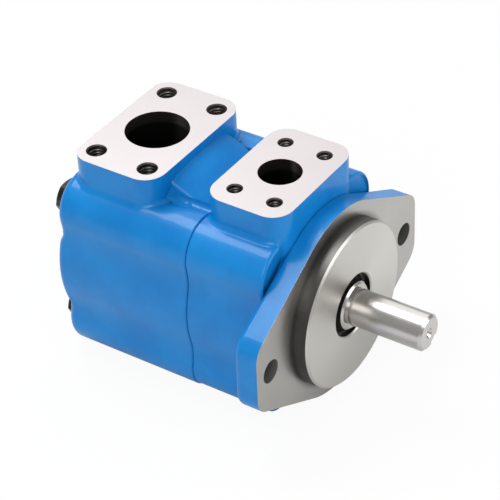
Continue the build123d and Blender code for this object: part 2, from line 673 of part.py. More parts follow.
def make_inlet_support_plate():
    """Rear plate of the cartridge with the tail bush's bore."""
    bore_r = TAIL_R + BUSH_RUN_GAP + BUSH_WALL + BUSH_FIT_GAP
    plate = tube(CARTRIDGE_R, INLET_PLATE_BACK_X, INLET_PLATE_FRONT_X, bore_r)
    for angle in inlet_angles():
        plate -= slab(kidney_sketch(angle), INLET_PLATE_BACK_X, INLET_PLATE_FRONT_X)
    sink = CAP_HEAD_H + CAP_SINK
    for place in dowel_places(-1):
        head_hole = Pos(*place) * Circle(CAP_HEAD_R + CAP_HEAD_GAP)
        plate -= slab(head_hole, INLET_PLATE_BACK_X, INLET_PLATE_BACK_X + sink)
    return [plate - dowel_holes(INLET_PLATE_BACK_X, INLET_PLATE_FRONT_X)]


def make_shaft_bush():
    """Plain bush that carries the shaft's tail."""
    inner = TAIL_R + BUSH_RUN_GAP
    return [tube(inner + BUSH_WALL, INLET_PLATE_BACK_X, INLET_PLATE_FRONT_X, inner)]


def make_locating_pins():
    """Two pins through the whole cartridge."""
    front = OUTLET_PLATE_FRONT_X - DOWEL_BLIND - DOWEL_GAP
    back = INLET_PLATE_BACK_X + CAP_SINK
    return [slab(Pos(*place) * Circle(DOWEL_R), back, front) for place in dowel_places(1)]


def make_cartridge_screws():
    """Two socket head screws that hold the cartridge together."""
    front = OUTLET_PLATE_FRONT_X - DOWEL_BLIND - DOWEL_GAP
    seat = INLET_PLATE_BACK_X + CAP_HEAD_H + CAP_SINK
    screw = tube(DOWEL_R, seat, front) + tube(CAP_HEAD_R, seat - CAP_HEAD_H, seat)
    socket = RegularPolygon(CAP_SOCKET_FLATS / sqrt(3), 6)
    screw -= slab(socket, seat - CAP_HEAD_H, seat - CAP_HEAD_H + CAP_SOCKET_DEPTH)
    return [Pos(0, *place) * screw for place in dowel_places(-1)]


def vane_turns():
    """Angle of each vane about the shaft."""
    return [vane * 360 / VANE_COUNT for vane in range(VANE_COUNT)]


def make_rotor():
    """Slotted rotor with a splined bore and feed holes between the slots."""
    slot = Pos((SLOT_FLOOR_R + CAM_MAJOR_R) / 2, 0)
    slot *= Rectangle(CAM_MAJOR_R - SLOT_FLOOR_R, VANE_T + 2 * VANE_FACE_GAP)
    section = Circle(ROTOR_R) - spline_teeth(SPLINE_GAP)
    for turn in vane_turns():
        section -= Rot(0, 0, turn) * slot
        section -= Pos(*polar(FEED_CIRCLE_R, turn + 180 / VANE_COUNT)) * Circle(FEED_HOLE_R)
    return [slab(section, CAM_BACK_X + ROTOR_SIDE_GAP, CAM_FRONT_X - ROTOR_SIDE_GAP)]


def make_vane(turn):
    """Flat vane with a rounded tip and a notch underneath for its insert."""
    rise = VANE_TIP_ROUND - sqrt(VANE_TIP_ROUND**2 - (VANE_T / 2) ** 2)
    sides = Polyline(
        (VANE_TIP_R - rise, VANE_T / 2),
        (VANE_ROOT_R, VANE_T / 2),
        (VANE_ROOT_R, -VANE_T / 2),
        (VANE_TIP_R - rise, -VANE_T / 2),
    )
    tip = ThreePointArc(sides @ 1, (VANE_TIP_R, 0), sides @ 0)
    vane = slab(make_face(sides + tip), CAM_BACK_X + ROTOR_SIDE_GAP, CAM_FRONT_X - ROTOR_SIDE_GAP)
    middle_x = (CAM_BACK_X + CAM_FRONT_X) / 2
    notch = Pos(VANE_ROOT_R + NOTCH_HEIGHT / 2, 0) * Rectangle(NOTCH_HEIGHT, VANE_T)
    half = INSERT_LENGTH / 2 + NOTCH_GAP
    return [Rot(turn, 0, 0) * (vane - slab(notch, middle_x - half, middle_x + half))]


def make_intra_vanes():
    """Small inserts at the floor of each slot, inside the vanes' notches."""
    middle_x = (CAM_BACK_X + CAM_FRONT_X) / 2
    floor_r = SLOT_FLOOR_R + VANE_FACE_GAP
    insert = Pos(floor_r + INSERT_HEIGHT / 2, 0) * Rectangle(INSERT_HEIGHT, VANE_T)
    insert = slab(insert, middle_x - INSERT_LENGTH / 2, middle_x + INSERT_LENGTH / 2)
    return [Rot(turn, 0, 0) * insert for turn in vane_turns()]


def make_nodes():
    """Every node's name with its solids."""
    plate_seat_x = PLATE_BACK_X + PLATE_GROOVE_BACK
    hub_seat_r = HUB_R + HUB_BORE_GAP
    nodes = {
        "pump_body": make_pump_body(),
        "inlet_cover": make_inlet_cover(),
        "cover_screws": make_cover_screws(),
        "cover_seal": make_cover_seal(),
        "drive_shaft": make_drive_shaft(),
        "shaft_seal_case": make_shaft_seal_case(),
        "shaft_seal_lip": make_shaft_seal_lip(),
        "garter_spring": make_garter_spring(),
        "seal_washer": make_seal_washer(),
        "bearing_outer_race": make_bearing_outer_race(),
        "bearing_inner_race": make_bearing_inner_race(),
        "bearing_balls": make_bearing_balls(),
        "bearing_cage": make_bearing_cage(),
        "shaft_snap_ring": make_shaft_snap_ring(),
        "bearing_retaining_ring": make_bearing_retaining_ring(),
        "outlet_support_plate": make_outlet_support_plate(),
        "outlet_flex_plate": make_flex_plate(CAM_FRONT_X),
        "cam_ring": make_cam_ring(),
        "inlet_flex_plate": make_flex_plate(INLET_PLATE_FRONT_X),
        "inlet_support_plate": make_inlet_support_plate(),
        "shaft_bush": make_shaft_bush(),
        "locating_pins": make_locating_pins(),
        "cartridge_screws": make_cartridge_screws(),
        "plate_seal": [cord_seal(CARTRIDGE_BORE_R, plate_seat_x)],
        "plate_backup_ring": [backup_ring(CARTRIDGE_BORE_R, plate_seat_x)],
        "hub_seal": [cord_seal(hub_seat_r, hub_groove_x())],
        "hub_backup_ring": [backup_ring(hub_seat_r, hub_groove_x())],
        "rotor": make_rotor(),
        "intra_vanes": make_intra_vanes(),
    }
    for number, turn in enumerate(vane_turns(), start=1):
        nodes[f"vane_{number:02d}"] = make_vane(turn)
    return nodes


def main():
    """Write one STEP file for each node."""
    os.makedirs("parts", exist_ok=True)
    for name, shapes in make_nodes().items():
        solids = [solid for shape in shapes for solid in shape.solids()]
        whole = solids[0] if len(solids) == 1 else Compound(children=solids)
        export_step(whole, f"parts/{name}.step")


main()
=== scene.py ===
"""Looks of a hydraulic vane pump, laid out as an add-on and run as a script."""
import json
import math

import bmesh
import bpy
from bpy.props import FloatProperty, FloatVectorProperty, IntProperty, PointerProperty
from mathutils import Matrix, Vector


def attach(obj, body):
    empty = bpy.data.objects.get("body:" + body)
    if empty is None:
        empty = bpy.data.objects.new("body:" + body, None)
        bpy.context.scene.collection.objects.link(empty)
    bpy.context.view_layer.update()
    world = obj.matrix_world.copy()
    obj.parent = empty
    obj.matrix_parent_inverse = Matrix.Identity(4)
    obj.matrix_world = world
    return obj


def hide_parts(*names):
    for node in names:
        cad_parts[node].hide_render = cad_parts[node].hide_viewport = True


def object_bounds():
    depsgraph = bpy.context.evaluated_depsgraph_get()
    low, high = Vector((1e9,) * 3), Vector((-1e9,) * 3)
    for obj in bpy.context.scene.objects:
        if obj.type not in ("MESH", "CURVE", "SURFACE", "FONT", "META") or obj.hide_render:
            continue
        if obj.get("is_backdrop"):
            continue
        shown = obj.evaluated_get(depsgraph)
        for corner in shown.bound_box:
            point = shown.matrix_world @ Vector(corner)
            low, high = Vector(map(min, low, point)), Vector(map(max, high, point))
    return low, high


bl_info = {
    "name": "Vane Pump Finish",
    "version": (1, 0, 0),
    "blender": (4, 5, 0),
    "location": "View3D > Sidebar > Vane Pump",
    "description": "Paint, machined faces, threads and studio for a hydraulic vane pump",
    "category": "Object",
}

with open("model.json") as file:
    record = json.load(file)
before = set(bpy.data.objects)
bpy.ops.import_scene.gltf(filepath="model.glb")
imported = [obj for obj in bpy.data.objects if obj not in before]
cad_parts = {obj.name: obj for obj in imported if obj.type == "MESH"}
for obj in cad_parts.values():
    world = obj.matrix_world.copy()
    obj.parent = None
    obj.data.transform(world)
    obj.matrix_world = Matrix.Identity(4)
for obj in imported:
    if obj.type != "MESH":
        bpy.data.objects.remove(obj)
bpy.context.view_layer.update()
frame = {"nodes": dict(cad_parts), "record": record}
MOUNTS = {mount["name"]: mount for mount in frame["record"]["mounts"]}
PAD_TOP = MOUNTS["inlet_face"]["pos_m"][2]
MM = 0.001

# Sizes below are in millimetres, in pairs where the eased surface leaves the cast one.
# An outline is (lobe's offset on both axes, lobe radius, valley radius).
# A pad is (middle along the shaft, length, width, corner radius).
BARREL_R = 60.28
PILOT_R = MOUNTS["pilot"]["dims"]["r_mm"]
SEAM_X = -65.1
CAST_OUTLINE = (32.0, 27.8, 9.0)
EASED_OUTLINE = (38.5, 19.5, 40.0)
HEIGHT_ROUNDS = 12
COVER_GROWTH = 0.7
CAST_FLANGE_BACK = -12.5
FLANGE_BACK = -15.2
CAST_LOBE_FRONT = -14.1
LOBE_FRONT = -15.6
LOBE_DRAFT = 1.6
BACK_ROUND = 5.0
OUTLET_CAST = (-38.1, 54.0, 82.0, 13.0)
OUTLET_PAD = (-38.1, 52.0, 80.6, 12.6)
INLET_CAST = (-122.4, 58.5, 93.0, 13.0)
INLET_PAD = (-122.4, 59.0, 94.0, 13.2)

# The flange's ears are trimmed beyond EAR_START, and not beside their holes
EAR_START = 27.0
EAR_FLANK = 80.0
EAR_HOLE_HALF = 9.5
EAR_TRIM = 2.7
EAR_SHORT = 0.8

# The cover's rear dome, and the screws on its lobes
COVER_BACK = -156.5
DOME_OUT = -1.3
SEAT_IN = 1.1
SEAT_START = 38.0
SEAT_BLEND = 8.0
LOBE_RISE = 5.0
SCREW_OFFSET = 35.4
SCREW_HOLE = 6.5
SCREW_OUT = 3.1

# How far a cast point may lie from the plane, outline or pad wall that it belongs to
PLANE_SLACK = 0.01
FRONT_SLACK = 0.05
OUTLINE_SLACK = 0.08
BACK_SLACK = 0.1
WALL_SLACK = 0.3
PAD_SLACK = 1.2
PAD_LOW = 45.0
SAME_WAY = 0.9

# Fillets at the feet of the pads and the ramp
FOOT_R = 3.6
FOOT_SPACING = 2.0
FOOT_STEPS = 8
FOOT_SUNK = 0.1
FOOT_BACK = -153.0

# The ramp between the pads; the cast one is sunk just below the barrel
CAST_RAMP_HALF = 40.0
CAST_RAMP_LOW = 40.0
SUNK = 0.02
RAMP_START = INLET_PAD[0] + INLET_PAD[1] / 2
RAMP_HALF = 29.0
RAMP_CROWN_R = 170.0
RAMP_TOP = 70.8
RAMP_FALL = 12.8
RAMP_ROUND = 3.0
RAMP_SKIRT = 20.0
RAMP_OVERLAP = 1.0
RAMP_ROUND_STEPS = 6
RAMP_STEPS = 12

# Where the bare metal starts and ends, and where painted light and shade fall on it
FLANGE_EDGE = -0.08
PAD_EDGE = 0.12
PILOT_FACE = 8.4
CAVITY_R = 42.4
# Out to this radius round the pilot's root the flange face is painted darker, as painted shade
ROOT_SHADE_R = 52.8
PORT_LOW = 30.0
THREAD_ROOM = 0.7
# Depths below the pad face over which the hole walls turn from lighter to darker, as painted shade
HOLE_SHADE_FROM = 6.0
HOLE_SHADE_TO = 8.5
HOLE_BLUR = 0.05

# Threads; the last two are shares of the pitch
INLET_THREAD_DEPTH = 20.0
OUTLET_THREAD_DEPTH = 16.0
THREAD_START = 0.9
THREAD_BITE = 0.05
THREAD_ROOT = 0.45
THREAD_CREST = 0.06

# Stage, in metres: each lamp's name, place and side
FLOOR_HALF = 6.0
SENSOR_WIDTH = 36
LAMP_TARGET = (-0.06, 0, 0)
LAMPS = (
    ("key", (-0.52, 0.04, 0.95), 0.55),
    ("back", (-0.66, 0.86, 0.86), 1.2),
    ("fill", (0.20, -1.00, 0.80), 0.7),
    ("end", (1.05, 0.35, 0.35), 0.8),
)


# Settings that a user would change

class PaintSettings(bpy.types.PropertyGroup):
    """Enamel on the castings and the bare faces cut through it."""

    enamel: FloatVectorProperty(
        name="Enamel", description="Colour of the casting paint", subtype="COLOR",
        size=3, min=0, max=1, default=(0.006, 0.205, 0.545))
    enamel_deep: FloatVectorProperty(
        name="Enamel in hollows", description="Colour where the paint runs thick", subtype="COLOR",
        size=3, min=0, max=1, default=(0.003, 0.165, 0.475))
    machined: FloatVectorProperty(
        name="Machined iron", description="Colour of the turned flange and pilot", subtype="COLOR",
        size=3, min=0, max=1, default=(0.420, 0.410, 0.385))
    pad_face: FloatVectorProperty(
        name="Pad face", description="Colour of the ground port faces", subtype="COLOR",
        size=3, min=0, max=1, default=(0.440, 0.412, 0.418))
    drilled: FloatVectorProperty(
        name="Drilled iron", description="Colour inside the mounting holes", subtype="COLOR",
        size=3, min=0, max=1, default=(0.120, 0.118, 0.112))
    # Near black: the holes' dark iron darkened further as painted shade
    shaded_bore: FloatVectorProperty(
        name="Bore", description="Colour inside the ports and drilled holes", subtype="COLOR",
        size=3, min=0, max=1, default=(0.030, 0.026, 0.024))
    orange_peel: FloatProperty(
        name="Orange peel", description="Depth of the paint's ripple", subtype="DISTANCE",
        min=0, default=0.00012)


class ThreadSettings(bpy.types.PropertyGroup):
    """Threads cut in the holes of the port pads."""

    inlet_pitch: FloatProperty(
        name="Inlet pitch", description="Pitch of the inlet pad's threads", subtype="DISTANCE",
        min=0.0005, default=0.00195)
    outlet_pitch: FloatProperty(
        name="Outlet pitch", description="Pitch of the outlet pad's threads", subtype="DISTANCE",
        min=0.0005, default=0.00159)
    crest: FloatProperty(
        name="Crest height", description="How far a crest stands in from the wall",
        subtype="DISTANCE", min=0.0001, default=0.00035)
    steps: IntProperty(
        name="Steps per turn", description="Faces round one turn of a thread", min=8, default=32)


class StageSettings(bpy.types.PropertyGroup):
    """Floor, lamps and camera."""

    floor: FloatVectorProperty(
        name="Floor", description="Colour of the floor", subtype="COLOR",
        size=3, min=0, max=1, default=(0.74, 0.74, 0.74))
    floor_glow: FloatProperty(
        name="Floor glow", description="Share of plain white that the camera sees in the floor",
        subtype="FACTOR", min=0, max=1, default=0.93)
    key_power: FloatProperty(
        name="Key lamp", description="Power of the lamp overhead", unit="POWER",
        min=0, default=7.0)
    back_power: FloatProperty(
        name="Back lamp", description="Power of the large panel behind the ports", unit="POWER",
        min=0, default=4.9)
    fill_power: FloatProperty(
        name="Fill lamp", description="Power of the lamp before the near side", unit="POWER",
        min=0, default=8.5)
    end_power: FloatProperty(
        name="End lamp", description="Power of the lamp at the drive end", unit="POWER",
        min=0, default=7.0)
    world_level: FloatProperty(
        name="Room light", description="Strength of the room's light", min=0, default=0.38)
    camera_place: FloatVectorProperty(
        name="Camera place", description="Where the camera stands", subtype="TRANSLATION",
        unit="LENGTH", size=3, default=(0.48476, -0.78203, 0.73474))
    camera_turn: FloatVectorProperty(
        name="Camera turn", description="How the camera is turned", subtype="EULER",
        size=3, default=tuple(math.radians(a) for a in (52.831, 2.122, 33.306)))
    lens: FloatProperty(
        name="Lens", description="Focal length in millimetres", min=1, default=147.73)


# Node tools

def wire(tree, socket, value):
    """Link a socket to another, or set its plain value."""
    if isinstance(value, bpy.types.NodeSocket):
        tree.links.new(value, socket)
    elif socket.type == "RGBA" and len(value) == 3:
        socket.default_value = (*value, 1)
    else:
        socket.default_value = value


def node(tree, kind, settings=None, **inputs):
    """Add a shader node with its settings and inputs; an input is named or input_N."""
    made = tree.nodes.new(f"ShaderNode{kind}")
    for key, value in (settings or {}).items():
        setattr(made, key, value)
    for key, value in inputs.items():
        if key.startswith("input_"):
            socket = made.inputs[int(key[6:])]
        else:
            socket = made.inputs[key.replace("_", " ")]
        wire(tree, socket, value)
    return made


def math_node(tree, operation, *values):
    """One Math node's output."""
    made = node(tree, "Math", {"operation": operation})
    for socket, value in zip(made.inputs, values):
        wire(tree, socket, value)
    return made.outputs[0]


def vector_node(tree, operation, *values):
    """One Vector Math node's vector output."""
    made = node(tree, "VectorMath", {"operation": operation})
    for socket, value in zip(made.inputs, values):
        wire(tree, socket, value)
    return made.outputs[0]


def above(tree, value, edge, blur):
    """1 where a value is above an edge, 0 below, with a short ramp between."""
    made = node(tree, "MapRange", {"interpolation_type": "SMOOTHSTEP"},
                Value=value, From_Min=edge - blur, From_Max=edge + blur)
    return made.outputs[0]


def opposite(tree, value):
    """1 less a value."""
    return math_node(tree, "SUBTRACT", 1.0, value)


def shade(colour, factor):
    """A colour made darker or lighter, held at full."""
    return tuple(min(part * factor, 1) for part in colour)


def mix_colour(tree, factor, first, second):
    """Mix two colours by a factor."""
    made = node(tree, "Mix", {"data_type": "RGBA"},
                input_0=factor, input_6=first, input_7=second)
    return made.outputs[2]


def mix_value(tree, factor, first, second):
    """Mix two numbers by a factor."""
    made = node(tree, "Mix", {"data_type": "FLOAT"},
                input_0=factor, input_2=first, input_3=second)
    return made.outputs[0]


def noise(tree, place, scale, detail=3.0, roughness=0.5):
    """Noise between 0 and 1 at a scale in cycles per metre."""
    made = node(tree, "TexNoise", Vector=place, Scale=scale, Detail=detail, Roughness=roughness)
    return made.outputs[0]


def new_group(name, inputs, outputs):
    """An empty shader node group with named float, colour or vector sockets."""
    group = bpy.data.node_groups.new(name, "ShaderNodeTree")
    for label, kind, default in inputs:
        socket = group.interface.new_socket(
            label, in_out="INPUT", socket_type=f"NodeSocket{kind}")
        if default is not None:
            socket.default_value = default
    for label, kind in outputs:
        group.interface.new_socket(label, in_out="OUTPUT", socket_type=f"NodeSocket{kind}")
    given = group.nodes.new("NodeGroupInput").outputs
    return group, given, group.nodes.new("NodeGroupOutput").inputs


def place_group(tree, name, **inputs):
    """Put a group in a material with its own values."""
    made = tree.nodes.new("ShaderNodeGroup")
    made.node_tree = bpy.data.node_groups[name]
    for key, value in inputs.items():
        wire(tree, made.inputs[key.replace("_", " ")], value)
    return made.outputs


# Shared effects

def build_turned_marks():
    """Fine rings about the shaft's axis, as a lathe leaves them, with soft blotches."""
    group, given, out = new_group(
        "turned_marks",
        [("Pitch", "Float", 0.0003), ("Axial", "Float", 0.0)],
        [("Height", "Float"), ("Blotch", "Float")])
    place = node(group, "TexCoord").outputs["Object"]
    parts = node(group, "SeparateXYZ", Vector=place).outputs
    radius = node(group, "VectorMath", {"operation": "LENGTH"},
                  input_0=vector_node(group, "MULTIPLY", place, (0, 1, 1))).outputs["Value"]
    along = mix_value(group, given["Axial"], radius, parts["X"])
    cut = math_node(group, "DIVIDE", along, given["Pitch"])
    lines = node(group, "TexNoise", {"noise_dimensions": "1D"}, W=cut, Scale=1.0, Detail=2.0)
    group.links.new(lines.outputs[0], out["Height"])
    group.links.new(noise(group, place, 60, 4, 0.6), out["Blotch"])


def build_cast_skin():
    """Sprayed enamel over sand-cast iron: orange peel, cast lumps and mottled colour."""
    group, _, out = new_group("cast_skin", [], [("Height", "Float"), ("Mottle", "Float")])
    place = node(group, "TexCoord").outputs["Object"]
    peel = noise(group, place, 420, 2, 0.4)
    lumps = noise(group, place, 95, 3, 0.5)
    swell = noise(group, place, 28, 2, 0.5)
    height = math_node(group, "MULTIPLY", peel, 0.35)
    for part, weight in ((lumps, 0.65), (swell, 1.2)):
        height = math_node(group, "ADD", height, math_node(group, "MULTIPLY", part, weight))
    group.links.new(height, out["Height"])
    group.links.new(noise(group, place, 34, 5, 0.6), out["Mottle"])


def build_handling_wear():
    """Smudges that change a surface's gloss."""
    group, given, out = new_group(
        "handling_wear", [("Scale", "Float", 40.0)], [("Smudge", "Float")])
    place = node(group, "TexCoord").outputs["Object"]
    group.links.new(noise(group, place, given["Scale"], 6, 0.65), out["Smudge"])


def hole_mask(tree, place, centre, axis, radius):
    """1 inside a round hole about a point, measured across the hole's axis."""
    offset = vector_node(tree, "SUBTRACT", place, centre)
    flat = tuple(0.0 if part else 1.0 for part in axis)
    across = vector_node(tree, "MULTIPLY", offset, flat)
    reach = node(tree, "VectorMath", {"operation": "LENGTH"}, input_0=across).outputs["Value"]
    return opposite(tree, above(tree, reach, radius + HOLE_BLUR * MM, HOLE_BLUR * MM))


def pattern_places(mount):
    """Centres of a rectangle's or a line's holes, in metres."""
    dims = mount["dims"]
    half_x = dims.get("spacing_x_mm", 0) / 2000
    half_y = dims.get("spacing_y_mm", 0) / 2000
    centre = Vector(mount["pos_m"])
    if mount["axis"][0]:
        return [centre + Vector((0, side * half_x, 0)) for side in (-1, 1)]
    return [centre + Vector((x * half_x, y * half_y, 0)) for x in (-1, 1) for y in (-1, 1)]


def build_bare_faces():
    """Masks for the castings: turned flange, ground pad faces, and holes through the paint, with
    masks for painted shade at the pilot's root, on its side and down the holes, and for a painted
    highlight on its face.
    """
    group, _, out = new_group(
        "bare_faces", [],
        [("Flange", "Float"), ("Pilot", "Float"), ("Pilot Side", "Float"), ("Pads", "Float"),
         ("Holes", "Float"), ("Depth", "Float"), ("Drilled", "Float"), ("Root", "Float")])
    place = node(group, "TexCoord").outputs["Object"]
    parts = node(group, "SeparateXYZ", Vector=place).outputs
    flange = above(group, parts["X"], FLANGE_EDGE * MM, 0.04 * MM)
    pads = above(group, parts["Z"], PAD_TOP - PAD_EDGE * MM, 0.06 * MM)
    cuts = [(MOUNTS[name]["pos_m"], (0, 0, 1), MOUNTS[name]["dims"]["r_mm"] * MM)
            for name in ("inlet_port", "outlet_port")]
    for name in ("inlet_bolts", "outlet_bolts", "mounting_bolts"):
        axis = tuple(MOUNTS[name]["axis"])
        radius = (MOUNTS[name]["dims"]["hole_r_mm"] + (THREAD_ROOM if axis[2] else 0.0)) * MM
        cuts += [(tuple(spot), axis, radius) for spot in pattern_places(MOUNTS[name])]
    holes, drilled = None, None
    for centre, axis, radius in cuts:
        inside = hole_mask(group, place, tuple(centre), axis, radius)
        if axis[2]:
            over = above(group, parts["Z"], PORT_LOW * MM, MM)
            inside = math_node(group, "MULTIPLY", inside, over)
        else:
            drilled = inside if drilled is None else math_node(group, "MAXIMUM", drilled, inside)
        holes = inside if holes is None else math_node(group, "MAXIMUM", holes, inside)
    axis_reach = node(group, "VectorMath", {"operation": "LENGTH"},
                      input_0=vector_node(group, "MULTIPLY", place, (0, 1, 1))).outputs["Value"]
    # Painted shade on the flange face round the pilot's root
    root = opposite(group, above(group, axis_reach, ROOT_SHADE_R * MM, 2.6 * MM))
    cavity = opposite(group, above(group, axis_reach, CAVITY_R * MM, 0.2 * MM))
    cavity = math_node(group, "MULTIPLY", cavity, opposite(group, flange))
    not_dome = above(group, parts["X"], (COVER_BACK + BACK_ROUND) * MM, 0.2 * MM)
    cavity = math_node(group, "MULTIPLY", cavity, not_dome)
    # Painted shade down the holes: 0 near the pad face, 1 deeper in
    deep = node(group, "MapRange", {"interpolation_type": "SMOOTHSTEP"}, Value=parts["Z"],
                From_Min=PAD_TOP - HOLE_SHADE_FROM * MM, From_Max=PAD_TOP - HOLE_SHADE_TO * MM)
    # Mask of the pilot's side, whose iron is painted darker as painted shade
    below_face = opposite(group, above(group, parts["X"], (PILOT_FACE - 0.1) * MM, 0.1 * MM))
    side = math_node(group, "MULTIPLY", above(group, parts["X"], 0.15 * MM, 0.05 * MM), below_face)
    # The pilot's face mask below is used for a painted highlight: its iron is made lighter
    for label, value in (
            ("Flange", flange), ("Pilot", above(group, parts["X"], PILOT_FACE * MM, 0.1 * MM)),
            ("Pilot Side", side), ("Pads", pads),
            ("Holes", math_node(group, "MAXIMUM", holes, cavity)), ("Depth", deep.outputs[0]),
            ("Drilled", math_node(group, "MULTIPLY", drilled, opposite(group, flange))),
            ("Root", root)):
        group.links.new(value, out[label])


# Pieces made from mesh code

def link_piece(mesh):
    """Put a mesh in the scene as an object of the same name."""
    piece = bpy.data.objects.new(mesh.name, mesh)
    bpy.context.scene.collection.objects.link(piece)
    return piece


def piece_from(bm, name, smooth=False):
    """Turn mesh code into an object in the scene."""
    mesh = bpy.data.meshes.new(name)
    bm.to_mesh(mesh)
    bm.free()
    if smooth:
        mesh.shade_smooth()
    return link_piece(mesh)


def surface_copy(name):
    """A copy of a CAD node's mesh that may be reshaped."""
    mesh = frame["nodes"][name].data.copy()
    mesh.name = f"{name}_surface"
    return mesh


# Castings with eased forms

def outline(angle, half, lobe_r, valley_r, growth):
    """Reach of the barrel's outline at an angle about the shaft, and its normal's angle."""
    barrel_r, lobe_r, valley_r = BARREL_R + growth, lobe_r + growth, valley_r - growth
    quarter = angle % (math.pi / 2)
    folded = min(quarter, math.pi / 2 - quarter)
    turn = 1 if quarter < math.pi / 4 else -1
    lobe = math.hypot(half, half)
    far, near = barrel_r + valley_r, lobe_r + valley_r
    spread = math.acos((far * far + lobe * lobe - near * near) / (2 * far * lobe))
    valley = Vector((math.cos(math.pi / 4 - spread), math.sin(math.pi / 4 - spread))) * far
    centre = Vector((half, half))
    touch = centre + (valley - centre) * lobe_r / near
    ray = Vector((math.cos(folded), math.sin(folded)))
    if folded <= math.pi / 4 - spread:
        reach, normal = barrel_r, ray
    elif folded < math.atan2(touch.y, touch.x):
        along = ray.dot(valley)
        inside = along * along - valley.length_squared + valley_r * valley_r
        reach = along - math.sqrt(max(inside, 0))
        normal = valley - ray * reach
    else:
        along = ray.dot(centre)
        reach = along + math.sqrt(max(along * along - lobe * lobe + lobe_r * lobe_r, 0))
        normal = ray * reach - centre
    lean = math.atan2(normal.y, normal.x) - folded
    return reach, angle + turn * lean


def surface_height(y, growth):
    """Height of the eased barrel's top above a point beside the shaft's axis."""
    height = math.sqrt(max(BARREL_R ** 2 - y * y, 0))
    for _ in range(HEIGHT_ROUNDS):
        reach, _ = outline(math.atan2(height, y), *EASED_OUTLINE, growth)
        height = math.sqrt(max(reach * reach - y * y, 0))
    return height


def pad_distance(x, y, pad):
    """Signed distance from a pad's outline, positive outside."""
    spot, length, width, corner = pad
    dx = abs(x - spot) - length / 2 + corner
    dy = abs(y) - width / 2 + corner
    return math.hypot(max(dx, 0), max(dy, 0)) + min(max(dx, dy), 0) - corner


def eased_barrel(x, y, z, old_pad, growth):
    """A point moved from the cast outline to the eased one, and its normal's old and new angle."""
    reach, angle = math.hypot(y, z), math.atan2(z, y)
    old, old_lean = outline(angle, *CAST_OUTLINE, 0)
    new, new_lean = outline(angle, *EASED_OUTLINE, growth)
    on_outline = old - BACK_ROUND - WALL_SLACK < reach < old + OUTLINE_SLACK
    if x < CAST_FLANGE_BACK - PLANE_SLACK and on_outline:
        step = new - old - (LOBE_DRAFT if x > LOBE_FRONT and z < 0 else 0)
        if z > 0 and pad_distance(x, y, old_pad) < WALL_SLACK:
            z += step * reach / z
        else:
            y, z = y + step * math.cos(angle), z + step * math.sin(angle)
        return y, z, (old_lean, new_lean - old_lean)
    over_ramp = z > CAST_RAMP_LOW and RAMP_START < x < SEAM_X - PLANE_SLACK
    if over_ramp and abs(y) < CAST_RAMP_HALF and reach > old + OUTLINE_SLACK:
        z = surface_height(y, growth) - SUNK
    return y, z, None


def eased_ends(x, y, z, reach, old, old_pad, new_pad):
    """A point moved by the trims of the pad, the flange, the ears and the rear dome."""
    if z > PAD_LOW and abs(pad_distance(x, y, old_pad)) < PAD_SLACK:
        x = new_pad[0] + (x - old_pad[0]) * new_pad[1] / old_pad[1]
        y *= new_pad[2] / old_pad[2]
    elif CAST_FLANGE_BACK - PLANE_SLACK <= x < PLANE_SLACK and reach > PILOT_R:
        x *= FLANGE_BACK / CAST_FLANGE_BACK
        if abs(y) > EAR_START and abs(z) > EAR_HOLE_HALF:
            out = min((abs(y) - EAR_START) / (EAR_FLANK - EAR_START), 1)
            z -= math.copysign(EAR_TRIM * out, z)
            y -= math.copysign(EAR_SHORT * out ** 4, y)
    elif CAST_LOBE_FRONT - FRONT_SLACK < x < CAST_FLANGE_BACK:
        x = LOBE_FRONT
    if x < COVER_BACK + BACK_ROUND + BACK_SLACK:
        lobe = min(max((old - BARREL_R) / LOBE_RISE, 0), 1)
        lobe *= min(max((reach - SEAT_START) / SEAT_BLEND, 0), 1)
        x += DOME_OUT * (1 - lobe) + SEAT_IN * lobe
        if math.hypot(abs(y) - SCREW_OFFSET, abs(z) - SCREW_OFFSET) < SCREW_HOLE:
            y, z = y + math.copysign(SCREW_OUT, y), z + math.copysign(SCREW_OUT, z)
    return Vector((x, y, z))


def eased_casting(name, old_pad, new_pad, growth):
    """A casting's surface with softer lobes, a trimmed pad and a fuller flange; its holes stay."""
    mesh = surface_copy(name)
    normals = [Vector(item.vector) for item in mesh.corner_normals]
    turned = {}
    for vert in mesh.vertices:
        x, y, z = vert.co / MM
        reach = math.hypot(y, z)
        old, _ = outline(math.atan2(z, y), *CAST_OUTLINE, 0)
        y, z, turn = eased_barrel(x, y, z, old_pad, growth)
        if turn:
            turned[vert.index] = turn
        vert.co = eased_ends(x, y, z, reach, old, old_pad, new_pad) * MM
    for loop in mesh.loops:
        lean, turn = turned.get(loop.vertex_index, (0, 0))
        normal = normals[loop.index]
        across = math.hypot(normal.y, normal.z)
        along = normal.y * math.cos(lean) + normal.z * math.sin(lean)
        if turn and across > 0.01 and along / across > SAME_WAY:
            normals[loop.index] = Matrix.Rotation(turn, 3, "X") @ normal
    mesh.normals_split_custom_set([tuple(normal) for normal in normals])
    return link_piece(mesh)


def shifted_copy(name, shift):
    """A CAD node's surface with each point moved by a rule, in millimetres."""
    mesh = surface_copy(name)
    for vert in mesh.vertices:
        vert.co = shift(vert.co / MM) * MM
    piece = link_piece(mesh)
    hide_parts(name)
    return piece


def screw_shift(spot):
    """Cover screws stand further out, with their heads on the lobes' seats."""
    out = Vector((0, math.copysign(SCREW_OUT, spot.y), math.copysign(SCREW_OUT, spot.z)))
    return spot + out + Vector((SEAT_IN if spot.x < COVER_BACK + BACK_SLACK else 0, 0, 0))


def outline_walk(pad, steps):
    """Points round a pad's outline with their outward directions, anticlockwise from above."""
    spot, length, width, corner = pad
    walk = []
    for turn, (sx, sy) in enumerate(((1, 1), (-1, 1), (-1, -1), (1, -1))):
        centre = Vector((spot + sx * (length / 2 - corner), sy * (width / 2 - corner)))
        for step in range(steps + 1):
            angle = (turn + step / steps) * math.pi / 2
            out = Vector((math.cos(angle), math.sin(angle)))
            walk.append((centre + out * corner, out))
    return walk


